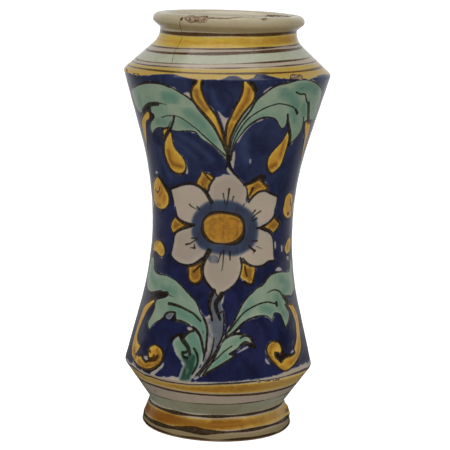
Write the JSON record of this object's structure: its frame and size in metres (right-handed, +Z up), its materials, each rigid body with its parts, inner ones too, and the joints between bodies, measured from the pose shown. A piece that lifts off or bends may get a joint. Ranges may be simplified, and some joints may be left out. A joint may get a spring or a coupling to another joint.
{
  "type": "albarello",
  "caption": "Waisted drug jar of tin-glazed earthenware with a flared foot, angular shoulder and rolled lip, open at the mouth.",
  "frame": {"origin": "middle of the standing face under the foot ring", "axes": "+Z up the jar's axis from foot to mouth; -Y faces the viewer of the painted flower; +X to that viewer's right"},
  "size_m": [0.1378, 0.1378, 0.28],
  "materials": {
    "fired_clay": "bare, matt, buff earthenware",
    "foot_band_glaze": "glossy tin glaze with an orange band and a dark brown line",
    "heel_band_glaze": "glossy tin glaze with ochre and grey-green bands and fine brown lines",
    "painted_blue_glaze": "glossy tin glaze painted in blue, green, yellow and brown on white",
    "shoulder_band_glaze": "glossy tin glaze with yellow and grey-green bands and fine brown lines",
    "plain_tin_glaze": "glossy cream tin glaze, worn at the crest",
    "interior_tin_glaze": "thin glossy cream tin glaze"
  },
  "bodies": {
    "root": {"floor_disc": "fired_clay", "foot_ring": "fired_clay", "heel_section": "fired_clay", "waisted_barrel": "fired_clay", "shoulder_section": "fired_clay", "rolled_lip": "fired_clay", "foot_glaze": "foot_band_glaze", "heel_glaze": "heel_band_glaze", "barrel_glaze": "painted_blue_glaze", "shoulder_glaze": "shoulder_band_glaze", "lip_glaze": "plain_tin_glaze", "interior_glaze": "interior_tin_glaze"}
  },
  "joints": []
}
